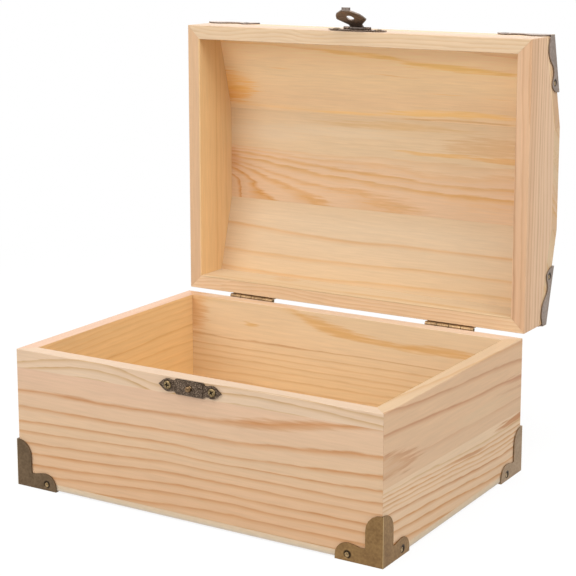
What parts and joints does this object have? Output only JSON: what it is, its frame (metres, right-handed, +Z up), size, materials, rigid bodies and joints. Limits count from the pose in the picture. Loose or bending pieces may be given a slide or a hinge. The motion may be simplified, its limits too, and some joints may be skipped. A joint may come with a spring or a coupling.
{
  "type": "hinged wooden storage box",
  "caption": "Pine treasure chest with a three-plank lid hinged at the back and standing open, folded sheet corner brackets, butt hinges and a front hasp with a swinging flap over a peg.",
  "frame": {"origin": "middle of the underside of the bounding box with the lid open: on the surface that the base's sheet brackets stand on, 18.55 mm behind the centre of the base", "axes": "+X to the right as seen from the front, +Y from the front to the hinges at the back, +Z up; the lid stands open at rest"},
  "size_m": [0.2014, 0.1882, 0.2274],
  "materials": {
    "pine": "unfinished sanded pine with warm growth lines",
    "pale_plywood": "unfinished pale plywood",
    "antique_bronze": "steel sheet plated in antique bronze, dull and speckled",
    "dark_bronze": "stamped steel plated in dark antique bronze",
    "brassy_steel": "worn brass-plated steel fasteners"
  },
  "bodies": {
    "base": {"bottom_panel": "pale_plywood", "base_front_wall": "pine", "base_back_wall": "pine", "base_left_wall": "pine", "base_right_wall": "pine", "base_bracket_front_left": "antique_bronze", "base_bracket_front_right": "antique_bronze", "base_bracket_back_left": "antique_bronze", "base_bracket_back_right": "antique_bronze", "base_bracket_front_left_wall_nail": "brassy_steel", "base_bracket_front_left_side_nail": "brassy_steel", "base_bracket_front_right_wall_nail": "brassy_steel", "base_bracket_front_right_side_nail": "brassy_steel", "base_bracket_back_left_wall_nail": "brassy_steel", "base_bracket_back_left_side_nail": "brassy_steel", "base_bracket_back_right_wall_nail": "brassy_steel", "base_bracket_back_right_side_nail": "brassy_steel", "hinge_left_base_leaf": "antique_bronze", "hinge_right_base_leaf": "antique_bronze", "hinge_left_base_leaf_screw_left": "brassy_steel", "hinge_left_base_leaf_screw_right": "brassy_steel", "hinge_right_base_leaf_screw_left": "brassy_steel", "hinge_right_base_leaf_screw_right": "brassy_steel", "hinge_left_pin": "brassy_steel", "hinge_right_pin": "brassy_steel", "catch_plate": "dark_bronze", "catch_peg": "brassy_steel", "catch_plate_screw_left": "brassy_steel", "catch_plate_screw_right": "brassy_steel"},
    "lid": {"lid_front_wall": "pine", "lid_back_wall": "pine", "lid_left_end": "pine", "lid_right_end": "pine", "lid_top_plank": "pine", "lid_front_plank": "pine", "lid_back_plank": "pine", "lid_bracket_front_left": "antique_bronze", "lid_bracket_front_right": "antique_bronze", "lid_bracket_back_left": "antique_bronze", "lid_bracket_back_right": "antique_bronze", "lid_bracket_front_left_wall_nail": "brassy_steel", "lid_bracket_front_left_end_nail": "brassy_steel", "lid_bracket_front_right_wall_nail": "brassy_steel", "lid_bracket_front_right_end_nail": "brassy_steel", "lid_bracket_back_left_wall_nail": "brassy_steel", "lid_bracket_back_left_end_nail": "brassy_steel", "lid_bracket_back_right_wall_nail": "brassy_steel", "lid_bracket_back_right_end_nail": "brassy_steel", "hinge_left_lid_leaf": "antique_bronze", "hinge_right_lid_leaf": "antique_bronze", "hinge_left_lid_leaf_screw_left": "brassy_steel", "hinge_left_lid_leaf_screw_right": "brassy_steel", "hinge_right_lid_leaf_screw_left": "brassy_steel", "hinge_right_lid_leaf_screw_right": "brassy_steel", "hasp_plate": "dark_bronze", "hasp_pin": "brassy_steel", "hasp_plate_screw_left": "brassy_steel", "hasp_plate_screw_right": "brassy_steel"},
    "flap": {"hasp_flap": "dark_bronze"}
  },
  "joints": [
    {"name": "lid_hinge", "type": "hinge", "parent": "base", "child": "lid", "pos_m": [0, 0.0555, 0.0683], "axis": [-1, 0, 0], "range_deg": [-90, 0]},
    {"name": "flap_hinge", "type": "hinge", "parent": "lid", "child": "flap", "pos_m": [0.0018, 0.06065, 0.21635], "axis": [-1, 0, 0], "range_deg": [-35, 125]}
  ]
}
